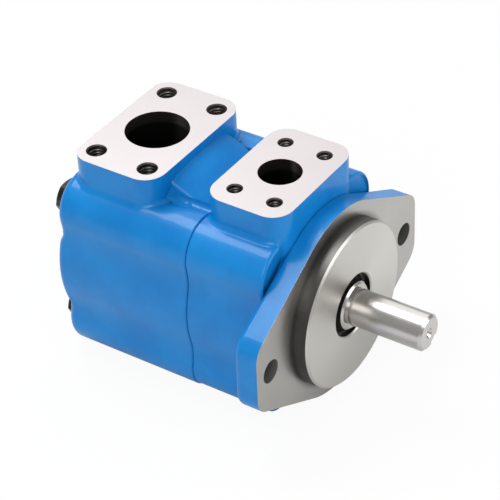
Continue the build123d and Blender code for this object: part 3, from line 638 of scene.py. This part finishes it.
def foot_strip(bm, walk, span, growth, closed, radius):
    """A concave fillet in the corner between an upright wall and the barrel."""
    dense = []
    for (first, out), (second, out_2) in zip(walk, walk[1:] + walk[:1] if closed else walk[1:]):
        count = max(int((second - first).length / FOOT_SPACING), 1)
        shares = [i / count for i in range(count)]
        dense += [(first.lerp(second, t), out.lerp(out_2, t).normalized()) for t in shares]
    if not closed:
        dense.append(walk[-1])
    rows = []
    for spot, out in dense:
        foot = spot + out * radius
        corner = Vector((*spot, surface_height(spot.y, growth)))
        top = corner - Vector((*out, 0)) * FOOT_SUNK + Vector((0, 0, radius))
        low = Vector((*foot, surface_height(foot.y, growth) - FOOT_SUNK))
        row = []
        for step in range(FOOT_STEPS + 1):
            t = step / FOOT_STEPS
            point = top.lerp(corner, t).lerp(corner.lerp(low, t), t)
            point.x = min(max(point.x, span[0]), span[1])
            row.append(bm.verts.new(point * MM))
        rows.append(row)
    for first, second in zip(rows, rows[1:] + rows[:1] if closed else rows[1:]):
        for i in range(FOOT_STEPS):
            bm.faces.new((first[i], second[i], second[i + 1], first[i + 1]))


def smooth_piece(bm, name):
    """Close mesh code's seams and turn it into a smooth object in the scene."""
    bmesh.ops.remove_doubles(bm, verts=bm.verts, dist=0.001 * MM)
    bmesh.ops.recalc_face_normals(bm, faces=bm.faces)
    return piece_from(bm, name, smooth=True)


def ramp_piece():
    """The cast hump that falls from the inlet pad's wall to the seam, with filleted feet."""
    bm = bmesh.new()
    half, crown, top = RAMP_HALF, RAMP_CROWN_R, RAMP_TOP
    edge = crown * math.cos(math.asin(half / crown)) - crown
    section = [(half, top + edge - RAMP_SKIRT), (half, top + edge - RAMP_ROUND)]
    for step in range(1, RAMP_ROUND_STEPS + 1):
        angle = math.pi / 2 * step / RAMP_ROUND_STEPS
        section.append((half - RAMP_ROUND * (1 - math.cos(angle)),
                        top + edge - RAMP_ROUND * (1 - math.sin(angle))))
    for step in range(1, RAMP_STEPS):
        y = (half - RAMP_ROUND) * (1 - step / RAMP_STEPS)
        section.append((y, top - y * y / (2 * crown)))
    section += [(-y, z) for y, z in reversed(section)]
    rows = []
    for step in range(RAMP_STEPS + 1):
        share = step / RAMP_STEPS
        x = RAMP_START - RAMP_OVERLAP + (SEAM_X - RAMP_START + RAMP_OVERLAP) * share
        rows.append([bm.verts.new(Vector((x, y, z - RAMP_FALL * share)) * MM) for y, z in section])
    for first, second in zip(rows, rows[1:]):
        for i in range(len(section) - 1):
            bm.faces.new((first[i], first[i + 1], second[i + 1], second[i]))
    for side in (-1, 1):
        walk = [(Vector((x, side * half)), Vector((0, side))) for x in (RAMP_START, SEAM_X)]
        foot_strip(bm, walk, (RAMP_START, SEAM_X), COVER_GROWTH, False, FOOT_R)
    return smooth_piece(bm, "cover_ramp")


def pad_feet(name, pad, span, growth):
    """Fillets round the foot of a port pad."""
    bm = bmesh.new()
    foot_strip(bm, outline_walk(pad, 8), span, growth, True, FOOT_R)
    return smooth_piece(bm, name)


# Materials

def new_material(name):
    """A material with an empty tree, its surface shader and its output."""
    material = bpy.data.materials.new(name)
    material.use_nodes = True
    tree = material.node_tree
    tree.nodes.clear()
    shader = tree.nodes.new("ShaderNodeBsdfPrincipled")
    output = tree.nodes.new("ShaderNodeOutputMaterial")
    tree.links.new(shader.outputs[0], output.inputs[0])
    return material, tree, shader.inputs


def round_tangent(tree):
    """Tangent that runs round the shaft's axis, for lathe-cut gloss."""
    place = node(tree, "TexCoord").outputs["Object"]
    spoke = vector_node(tree, "MULTIPLY", place, (0, 1, 1))
    return vector_node(tree, "NORMALIZE", vector_node(tree, "CROSS_PRODUCT", spoke, (1, 0, 0)))


def casting_colour(tree, paint, skin, bare, turned, wear):
    """Enamel, turned iron, pad faces and holes, laid over each other by the masks, with painted
    shade and a painted highlight on the bare iron and painted shade down the holes.
    """
    machined, shaded_bore = tuple(paint.machined), tuple(paint.shaded_bore)
    mottle = above(tree, skin["Mottle"], 0.5, 0.22)
    colour = mix_colour(tree, mottle, tuple(paint.enamel_deep), tuple(paint.enamel))
    iron = mix_colour(tree, turned["Blotch"], machined, shade(machined, 1.12))
    # Painted light on the bare iron: darker round the pilot's root and on the pilot's side as
    # painted shade, lighter on the pilot's face as a painted highlight
    for mask, factor in (("Root", 0.45), ("Pilot", 1.4), ("Pilot Side", 0.25)):
        iron = mix_colour(tree, bare[mask], iron, shade(machined, factor))
    pad = mix_colour(tree, wear["Smudge"], tuple(paint.pad_face), shade(paint.pad_face, 1.06))
    # Hole walls lighter near the rim and darker deeper in, as painted shade
    wall = mix_colour(tree, bare["Depth"], shade(shaded_bore, 3.2), shaded_bore)
    for mask, layer in (("Flange", iron), ("Pads", pad), ("Holes", wall),
                        ("Drilled", tuple(paint.drilled))):
        colour = mix_colour(tree, bare[mask], colour, layer)
    return colour


def casting_material():
    """Azure enamel with bare machined faces, ports and holes."""
    paint = bpy.context.scene.pump_paint
    material, tree, shader = new_material("azure_enamel_on_iron")
    skin = place_group(tree, "cast_skin")
    bare = place_group(tree, "bare_faces")
    turned = place_group(tree, "turned_marks", Pitch=0.22 * MM)
    wear = place_group(tree, "handling_wear", Scale=55.0)
    wire(tree, shader["Base Color"], casting_colour(tree, paint, skin, bare, turned, wear))

    metal = math_node(tree, "MAXIMUM", bare["Flange"], bare["Pads"])
    bored = math_node(tree, "SUBTRACT", bare["Holes"], bare["Drilled"])
    metal = math_node(tree, "MAXIMUM", metal, bored)
    wire(tree, shader["Metallic"], metal)
    gloss = mix_value(tree, wear["Smudge"], 0.26, 0.38)
    gloss = mix_value(tree, bare["Flange"], gloss, mix_value(tree, turned["Height"], 0.30, 0.42))
    gloss = mix_value(tree, bare["Pads"], gloss, mix_value(tree, wear["Smudge"], 0.40, 0.55))
    gloss = mix_value(tree, bare["Holes"], gloss, 0.55)
    wire(tree, shader["Roughness"], gloss)
    wire(tree, shader["Coat Weight"], mix_value(tree, metal, 0.22, 0.0))
    shader["Coat Roughness"].default_value = 0.10
    shader["Specular IOR Level"].default_value = 0.16
    shader["Anisotropic"].default_value = 0.55
    wire(tree, shader["Tangent"], round_tangent(tree))

    painted = math_node(tree, "MULTIPLY", skin["Height"], opposite(tree, metal))
    ripple = node(tree, "Bump", Strength=0.55, Distance=paint.orange_peel, Height=painted)
    lathe = math_node(tree, "MULTIPLY", turned["Height"], bare["Flange"])
    rings = node(tree, "Bump", Strength=0.12, Distance=0.02 * MM, Height=lathe,
                 Normal=ripple.outputs[0])
    wire(tree, shader["Normal"], rings.outputs[0])
    return material


def machined_material(name, colour, roughness, axial=0.0, pitch=0.2 * MM, strength=0.15):
    """Turned or ground metal with lathe marks and faint smudges."""
    material, tree, shader = new_material(name)
    turned = place_group(tree, "turned_marks", Pitch=pitch, Axial=axial)
    wear = place_group(tree, "handling_wear", Scale=70.0)
    wire(tree, shader["Base Color"], mix_colour(tree, turned["Blotch"], shade(colour, 0.8), colour))
    shader["Metallic"].default_value = 1.0
    gloss = mix_value(tree, wear["Smudge"], roughness * 0.8, roughness * 1.2)
    wire(tree, shader["Roughness"], gloss)
    shader["Anisotropic"].default_value = 0.5
    wire(tree, shader["Tangent"], round_tangent(tree))
    marks = node(tree, "Bump", Strength=strength, Distance=0.02 * MM, Height=turned["Height"])
    wire(tree, shader["Normal"], marks.outputs[0])
    return material


def blackened_material():
    """Black oxide steel with rubbed, oily patches."""
    material, tree, shader = new_material("black_oxide_steel")
    wear = place_group(tree, "handling_wear", Scale=160.0)
    turned = place_group(tree, "turned_marks", Pitch=0.5 * MM)
    rubbed = above(tree, wear["Smudge"], 0.58, 0.08)
    black = mix_colour(tree, rubbed, (0.022, 0.023, 0.026), (0.075, 0.074, 0.074))
    wire(tree, shader["Base Color"], black)
    shader["Metallic"].default_value = 0.7
    wire(tree, shader["Roughness"], mix_value(tree, wear["Smudge"], 0.28, 0.5))
    grain = node(tree, "Bump", Strength=0.2, Distance=0.03 * MM, Height=turned["Blotch"])
    wire(tree, shader["Normal"], grain.outputs[0])
    return material


def rubber_material(name, colour, roughness):
    """Moulded rubber or plastic with a fine matte grain and pale dust."""
    material, tree, shader = new_material(name)
    wear = place_group(tree, "handling_wear", Scale=300.0)
    dusty = tuple(min(c + 0.03, 1) for c in colour)
    wire(tree, shader["Base Color"], mix_colour(tree, wear["Smudge"], colour, dusty))
    gloss = mix_value(tree, wear["Smudge"], roughness * 0.85, min(roughness * 1.15, 1))
    wire(tree, shader["Roughness"], gloss)
    grain = node(tree, "Bump", Strength=0.3, Distance=0.02 * MM, Height=wear["Smudge"])
    wire(tree, shader["Normal"], grain.outputs[0])
    return material


def paint_nodes(names, material):
    """Give CAD nodes a material in place of their own."""
    for name in names:
        mesh = frame["nodes"][name].data
        mesh.materials.clear()
        mesh.materials.append(material)


# Operators

class PUMP_OT_finish_castings(bpy.types.Operator):
    """Paint the body and the cover and bare their machined faces"""

    bl_idname = "pump.finish_castings"
    bl_label = "Finish castings"

    def execute(self, context):
        build_cast_skin()
        build_bare_faces()
        enamel = casting_material()
        paint_nodes(("pump_body", "inlet_cover"), enamel)
        body = eased_casting("pump_body", OUTLET_CAST, OUTLET_PAD, 0)
        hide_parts("pump_body")
        cover = eased_casting("inlet_cover", INLET_CAST, INLET_PAD, COVER_GROWTH)
        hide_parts("inlet_cover")
        feet = pad_feet("outlet_pad_foot", OUTLET_PAD, (SEAM_X, LOBE_FRONT), 0)
        rear_feet = pad_feet("inlet_pad_foot", INLET_PAD, (FOOT_BACK, SEAM_X), COVER_GROWTH)
        for piece in (body, cover, feet, rear_feet, ramp_piece()):
            if not piece.data.materials:
                piece.data.materials.append(enamel)
            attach(piece, "housing")
        return {"FINISHED"}


class PUMP_OT_finish_shaft(bpy.types.Operator):
    """Grind the shaft"""

    bl_idname = "pump.finish_shaft"
    bl_label = "Finish shaft"

    def execute(self, context):
        ground = machined_material(
            "ground_shaft_steel", (0.60, 0.58, 0.56), 0.24, axial=1.0, pitch=0.12 * MM)
        paint_nodes(("drive_shaft",), ground)
        return {"FINISHED"}


class PUMP_OT_finish_fasteners(bpy.types.Operator):
    """Blacken the screws and pins"""

    bl_idname = "pump.finish_fasteners"
    bl_label = "Finish fasteners"

    def execute(self, context):
        names = ("cover_screws", "cartridge_screws", "locating_pins")
        paint_nodes(names, blackened_material())
        screws = shifted_copy("cover_screws", screw_shift)
        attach(screws, "housing")
        return {"FINISHED"}


class PUMP_OT_finish_bearing(bpy.types.Operator):
    """Finish the bearing, its rings and the seal's metal parts"""

    bl_idname = "pump.finish_bearing"
    bl_label = "Finish bearing and rings"

    def execute(self, context):
        lapped = machined_material(
            "lapped_bearing_steel", (0.66, 0.66, 0.67), 0.16, axial=1.0, strength=0.05)
        paint_nodes(("bearing_outer_race", "bearing_inner_race", "bearing_balls"), lapped)
        paint_nodes(("bearing_cage",), machined_material("cage_brass", (0.68, 0.50, 0.22), 0.35))
        spring = machined_material(
            "phosphated_spring_steel", (0.10, 0.10, 0.11), 0.42, strength=0.25)
        paint_nodes(("shaft_snap_ring", "bearing_retaining_ring"), spring)
        pressed = machined_material("zinc_plated_steel", (0.45, 0.45, 0.46), 0.3)
        paint_nodes(("shaft_seal_case", "garter_spring", "seal_washer"), pressed)
        return {"FINISHED"}


class PUMP_OT_finish_cartridge(bpy.types.Operator):
    """Finish the plates, cam ring, rotor, vanes and bush"""

    bl_idname = "pump.finish_cartridge"
    bl_label = "Finish cartridge"

    def execute(self, context):
        iron = machined_material("machined_plate_iron", (0.30, 0.30, 0.31), 0.38, strength=0.3)
        paint_nodes(("outlet_support_plate", "inlet_support_plate"), iron)
        bronze = machined_material("bearing_bronze", (0.52, 0.36, 0.18), 0.32)
        paint_nodes(("outlet_flex_plate", "inlet_flex_plate", "shaft_bush"), bronze)
        hard = machined_material("hardened_ground_steel", (0.48, 0.48, 0.50), 0.22, axial=1.0)
        vanes = [name for name in frame["nodes"] if name.startswith("vane_")]
        paint_nodes(("cam_ring", "rotor", "intra_vanes", *vanes), hard)
        return {"FINISHED"}


class PUMP_OT_finish_seals(bpy.types.Operator):
    """Finish the rubber and plastic seals"""

    bl_idname = "pump.finish_seals"
    bl_label = "Finish seals"

    def execute(self, context):
        for names, label, colour, roughness in (
                (("cover_seal", "plate_seal", "hub_seal"),
                 "seal_rubber", (0.020, 0.020, 0.021), 0.55),
                (("shaft_seal_lip",), "lip_rubber", (0.030, 0.024, 0.020), 0.45),
                (("plate_backup_ring", "hub_backup_ring"),
                 "white_backup_plastic", (0.78, 0.77, 0.74), 0.4)):
            paint_nodes(names, rubber_material(label, colour, roughness))
        return {"FINISHED"}


def thread_piece(name, mount, depth, pitch, crest, steps):
    """Helical crests down the wall of every hole in a tapped pattern."""
    wall = mount["dims"]["hole_r_mm"] * MM
    turns = int(depth / pitch)
    start = PAD_TOP - THREAD_START * MM - pitch
    outer, inner = wall + THREAD_BITE * MM, wall - crest
    root, tip = THREAD_ROOT * pitch, THREAD_CREST * pitch
    corners = ((outer, root), (inner, tip), (inner, -tip), (outer, -root))
    bm = bmesh.new()
    for place in pattern_places(mount):
        ring = [bm.verts.new((place.x + reach, place.y, start + rise)) for reach, rise in corners]
        edges = [bm.edges.new((ring[i], ring[(i + 1) % 4])) for i in range(4)]
        spun = bmesh.ops.spin(
            bm, geom=[*ring, *edges], cent=(place.x, place.y, 0), axis=(0, 0, 1),
            dvec=(0, 0, -pitch / steps), angle=math.tau * turns, steps=turns * steps,
            use_duplicate=False)
        last = [item for item in spun["geom_last"] if isinstance(item, bmesh.types.BMEdge)]
        for ends in (edges, last):
            bmesh.ops.contextual_create(bm, geom=ends)
    bmesh.ops.recalc_face_normals(bm, faces=bm.faces)
    return piece_from(bm, name)


class PUMP_OT_cut_threads(bpy.types.Operator):
    """Wind the thread crests into the pads' tapped holes"""

    bl_idname = "pump.cut_threads"
    bl_label = "Cut threads"

    def execute(self, context):
        thread = context.scene.pump_thread
        # Thread crests coloured dark as painted shade inside the tapped holes
        steel = machined_material("tapped_iron", (0.15, 0.14, 0.135), 0.42)
        for name, mount, depth, pitch in (
                ("inlet_threads", "inlet_bolts", INLET_THREAD_DEPTH * MM, thread.inlet_pitch),
                ("outlet_threads", "outlet_bolts", OUTLET_THREAD_DEPTH * MM, thread.outlet_pitch)):
            piece = thread_piece(name, MOUNTS[mount], depth, pitch, thread.crest, thread.steps)
            piece.data.materials.append(steel)
            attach(piece, "housing")
        return {"FINISHED"}


def area_lamp(name, place, size, power):
    """A square soft lamp that faces the pump."""
    data = bpy.data.lights.new(name, "AREA")
    data.energy = power
    data.size = size
    lamp = bpy.data.objects.new(name, data)
    lamp.location = place
    lamp.rotation_euler = (Vector(LAMP_TARGET) - Vector(place)).to_track_quat("-Z", "Y").to_euler()
    bpy.context.scene.collection.objects.link(lamp)


def floor_material(stage):
    """Pale floor that the camera sees as nearly white, with a soft shadow left."""
    material, tree, shader = new_material("pale_floor")
    shader["Base Color"].default_value = (*stage.floor, 1)
    shader["Roughness"].default_value = 0.9
    shader["Specular IOR Level"].default_value = 0.1
    rays = node(tree, "LightPath").outputs
    glow = node(tree, "Emission", Color=(1.0, 1.0, 1.0), Strength=1.0)
    seen = math_node(tree, "MULTIPLY", rays["Is Camera Ray"], stage.floor_glow)
    principled = next(item for item in tree.nodes if item.type == "BSDF_PRINCIPLED")
    output = next(item for item in tree.nodes if item.type == "OUTPUT_MATERIAL")
    both = node(tree, "MixShader",
                input_0=seen, input_1=principled.outputs[0], input_2=glow.outputs[0])
    tree.links.new(both.outputs[0], output.inputs[0])
    return material


def build_world(stage):
    """Even pale room light, with a plain white background."""
    world = bpy.data.worlds.new("pale_room")
    bpy.context.scene.world = world
    world.use_nodes = True
    tree = world.node_tree
    tree.nodes.clear()
    rays = node(tree, "LightPath").outputs
    seen = math_node(tree, "MAXIMUM", rays["Is Camera Ray"], rays["Is Transmission Ray"])
    strength = mix_value(tree, seen, stage.world_level, 1.0)
    back = node(tree, "Background", Color=(1.0, 1.0, 1.0), Strength=strength)
    output = tree.nodes.new("ShaderNodeOutputWorld")
    tree.links.new(back.outputs[0], output.inputs[0])


class PUMP_OT_set_stage(bpy.types.Operator):
    """Lay the floor, hang the lamps and set the camera"""

    bl_idname = "pump.set_stage"
    bl_label = "Set stage"

    def execute(self, context):
        stage = context.scene.pump_stage
        lowest = Vector(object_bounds()[0])
        bm = bmesh.new()
        bmesh.ops.create_grid(bm, x_segments=1, y_segments=1, size=FLOOR_HALF)
        bmesh.ops.translate(bm, verts=bm.verts, vec=(0, 0, lowest.z))
        floor = piece_from(bm, "floor")
        floor.data.materials.append(floor_material(stage))
        floor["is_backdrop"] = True
        build_world(stage)
        for name, place, size in LAMPS:
            area_lamp(name, place, size, getattr(stage, f"{name}_power"))
        data = bpy.data.cameras.new("camera")
        data.lens = stage.lens
        data.sensor_width = SENSOR_WIDTH
        camera = bpy.data.objects.new("camera", data)
        camera.location = stage.camera_place
        camera.rotation_euler = stage.camera_turn
        context.scene.collection.objects.link(camera)
        context.scene.camera = camera
        context.scene.view_settings.view_transform = "Standard"
        return {"FINISHED"}


class PUMP_PT_panel(bpy.types.Panel):
    """Lists the pump's settings and its steps"""

    bl_idname = "PUMP_PT_panel"
    bl_label = "Vane Pump"
    bl_space_type = "VIEW_3D"
    bl_region_type = "UI"
    bl_category = "Vane Pump"

    def draw(self, context):
        layout = self.layout
        for settings in (getattr(context.scene, key) for key in SETTINGS):
            box = layout.box()
            for key in settings.__annotations__:
                box.prop(settings, key)
        for step in STEPS:
            layout.operator(step.bl_idname)


STEPS = (
    PUMP_OT_finish_castings,
    PUMP_OT_finish_shaft,
    PUMP_OT_finish_fasteners,
    PUMP_OT_finish_bearing,
    PUMP_OT_finish_cartridge,
    PUMP_OT_finish_seals,
    PUMP_OT_cut_threads,
    PUMP_OT_set_stage,
)
SETTINGS = {
    "pump_paint": PaintSettings,
    "pump_thread": ThreadSettings,
    "pump_stage": StageSettings,
}


def register():
    for settings in SETTINGS.values():
        bpy.utils.register_class(settings)
    for step in (*STEPS, PUMP_PT_panel):
        bpy.utils.register_class(step)
    for key, settings in SETTINGS.items():
        setattr(bpy.types.Scene, key, PointerProperty(type=settings))


def unregister():
    for key in SETTINGS:
        delattr(bpy.types.Scene, key)
    for step in (PUMP_PT_panel, *reversed(STEPS)):
        bpy.utils.unregister_class(step)
    for settings in SETTINGS.values():
        bpy.utils.unregister_class(settings)


def main():
    """Run every step in order."""
    register()
    build_turned_marks()
    build_handling_wear()
    for step in STEPS:
        area, name = step.bl_idname.split(".")
        getattr(getattr(bpy.ops, area), name)()


if __name__ == "__main__":
    main()
